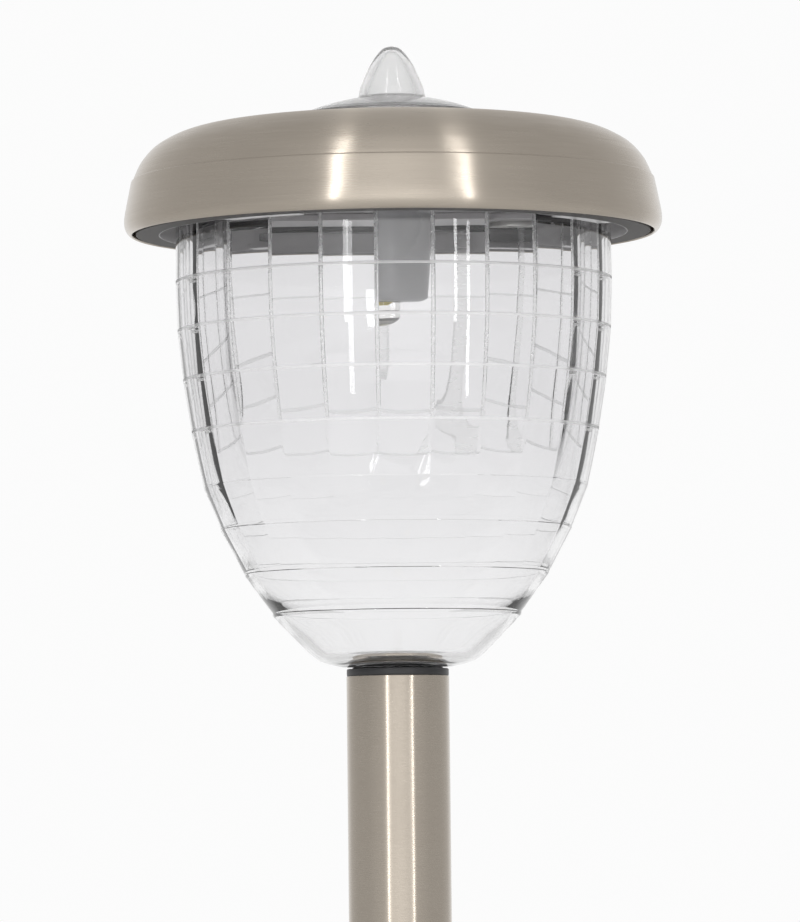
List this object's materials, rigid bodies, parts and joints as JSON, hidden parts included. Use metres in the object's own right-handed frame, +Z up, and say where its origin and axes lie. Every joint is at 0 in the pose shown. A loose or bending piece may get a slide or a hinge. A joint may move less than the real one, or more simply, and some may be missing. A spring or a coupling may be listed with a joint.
{
  "type": "solar garden light",
  "caption": "Solar garden light: satin steel mushroom cap with a clear pointed crown, fluted clear lens, steel pole and ground spike, with a twist-off head.",
  "frame": {"origin": "on the pole's axis at the soil line, where the spike's flange meets the ground", "axes": "+Z up the pole, -Y the front, +X to the right seen from the front"},
  "size_m": [0.147, 0.147, 0.5607],
  "materials": {
    "spike_plastic": "moulded, fine grain",
    "pole_steel": "satin brushed around the tube",
    "cap_steel": "satin brushed around the cap",
    "black_plastic": "moulded",
    "clear_lens": "clear moulded plastic",
    "clear_crown": "clear moulded plastic, slightly hazed",
    "rubber": "matt",
    "board": "solder mask",
    "silicon": "dark blue cell",
    "resin": "clear cast resin",
    "led_epoxy": "clear dome",
    "tinned_wire": "tinned",
    "chip": "moulded",
    "ferrite": "matt",
    "switch_metal": "plated",
    "battery_wrap": "shrink sleeve",
    "nickel_plate": "nickel plated",
    "spring_steel": "nickel plated",
    "screw_steel": "zinc plated",
    "wire_sheath": "flexible sheath"
  },
  "bodies": {
    "spike": {"ground_spike": "spike_plastic"},
    "pole": {"pole_tube": "pole_steel", "pole_collar": "black_plastic"},
    "lens": {"lens": "clear_lens"},
    "head": {"steel_cap": "cap_steel", "crown_cover": "clear_crown", "crown_gasket": "rubber", "solar_panel_board": "board", "solar_cells": "silicon", "panel_resin": "resin", "housing_tray": "black_plastic", "lens_seal": "rubber", "led_holder": "black_plastic", "led": "led_epoxy", "led_leads": "tinned_wire", "circuit_board": "board", "driver_chip": "chip", "inductor": "ferrite", "switch_body": "switch_metal", "battery": "battery_wrap", "positive_contact": "nickel_plate", "negative_contact": "nickel_plate", "battery_spring": "spring_steel", "cap_screws": "screw_steel", "panel_wires": "wire_sheath", "battery_wires": "wire_sheath", "led_wires": "wire_sheath"},
    "switch": {"switch_knob": "black_plastic"},
    "door": {"battery_door": "black_plastic", "door_screw": "screw_steel"}
  },
  "joints": [
    {"name": "pole_lift", "type": "slide", "parent": "spike", "child": "pole", "axis": [0, 0, 1], "range_m": [0, 0.04]},
    {"name": "lens_lift", "type": "slide", "parent": "pole", "child": "lens", "axis": [0, 0, 1], "range_m": [0, 0.025]},
    {"name": "head_twist", "type": "hinge", "parent": "lens", "child": "head", "pos_m": [0, 0, 0.369], "axis": [0, 0, 1], "range_deg": [0, 25]},
    {"name": "switch_slide", "type": "slide", "parent": "head", "child": "switch", "axis": [1, 0, 0], "range_m": [0, 0.004]},
    {"name": "door_drop", "type": "slide", "parent": "head", "child": "door", "axis": [0, 0, -1], "range_m": [0, 0.02]}
  ]
}
